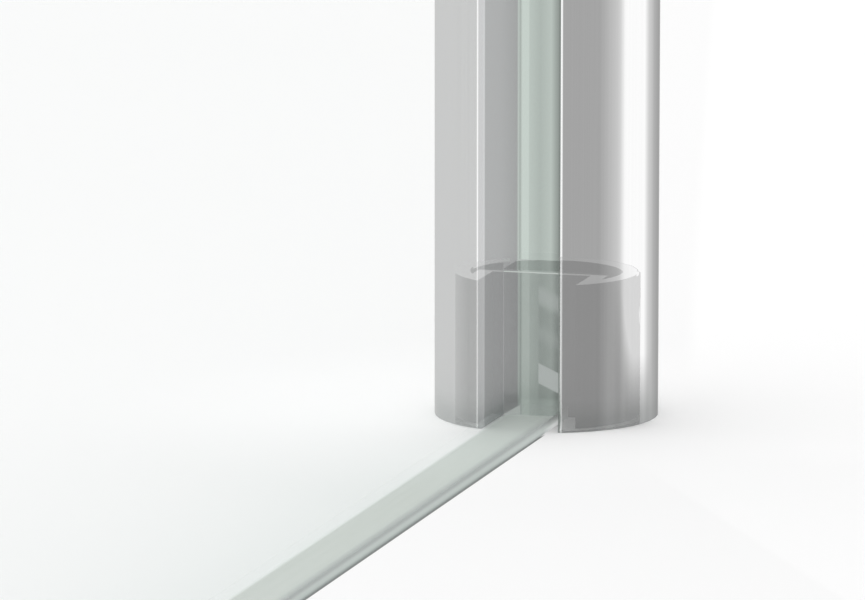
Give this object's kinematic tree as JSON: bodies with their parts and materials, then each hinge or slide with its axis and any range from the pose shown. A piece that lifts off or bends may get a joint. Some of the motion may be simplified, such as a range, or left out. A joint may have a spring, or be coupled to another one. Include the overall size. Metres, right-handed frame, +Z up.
{
  "type": "shower screen",
  "caption": "Fixed walk-in glass shower screen with a round slotted post on a floor foot, an adjustable wall profile and a telescopic brace.",
  "frame": {"origin": "on the round post's axis at floor level, on the underside of the floor foot", "axes": "+X runs along the glass from the post to the wall, +Y is the glass's room side, +Z is up"},
  "size_m": [0.9132, 0.914, 2.0483],
  "materials": {
    "glass": "clear toughened, polished edges",
    "clear_seal": "clear flexible vinyl",
    "post_metal": "satin anodised",
    "foot_metal": "die cast, machined top",
    "brace_metal": "fine satin",
    "screw_metal": "plain stainless",
    "nylon": "moulded nylon"
  },
  "bodies": {
    "screen": {"glass_panel": "glass", "post_profile": "post_metal", "floor_foot": "foot_metal", "foot_grub_screws": "screw_metal", "bottom_strip": "clear_seal", "post_gasket_front": "clear_seal", "post_gasket_back": "clear_seal", "post_edge_packers": "clear_seal", "glazing_profile": "post_metal", "wall_gasket_front": "clear_seal", "wall_gasket_back": "clear_seal", "wall_edge_packers": "clear_seal", "profile_cap": "post_metal", "profile_screws": "screw_metal", "top_insert": "foot_metal", "insert_grub_screw": "screw_metal", "post_cap": "post_metal", "cap_screws": "screw_metal", "swivel_pin": "screw_metal", "swivel_washer": "nylon"},
    "wall_side": {"wall_channel": "post_metal"},
    "brace_arm": {"brace_knuckle": "brace_metal", "knuckle_grub_screws": "screw_metal", "brace_tube_outer": "brace_metal", "lock_collar": "brace_metal", "collar_grub_screw": "screw_metal"},
    "brace_slide": {"brace_tube_inner": "brace_metal", "glide_plug": "nylon", "brace_eye": "brace_metal"},
    "wall_bracket": {"wall_clevis": "brace_metal", "clevis_pin": "screw_metal"},
    "rose": {"cover_rose": "brace_metal"}
  },
  "joints": [
    {"name": "wall_adjust", "type": "slide", "parent": "screen", "child": "wall_side", "axis": [1, 0, 0], "range_m": [0, 0.015]},
    {"name": "brace_swivel", "type": "hinge", "parent": "screen", "child": "brace_arm", "pos_m": [0, 0, 2.0211], "axis": [0, 0, 1], "range_deg": [-75, 75]},
    {"name": "brace_length", "type": "slide", "parent": "brace_arm", "child": "brace_slide", "axis": [0, -1, 0], "range_m": [-0.15, 0.09]},
    {"name": "bracket_swivel", "type": "hinge", "parent": "brace_slide", "child": "wall_bracket", "pos_m": [0, -0.856, 2.0211], "axis": [0, 0, 1], "range_deg": [-60, 60]},
    {"name": "rose_slide", "type": "slide", "parent": "wall_bracket", "child": "rose", "axis": [0, 1, 0], "range_m": [0, 0.012]}
  ]
}
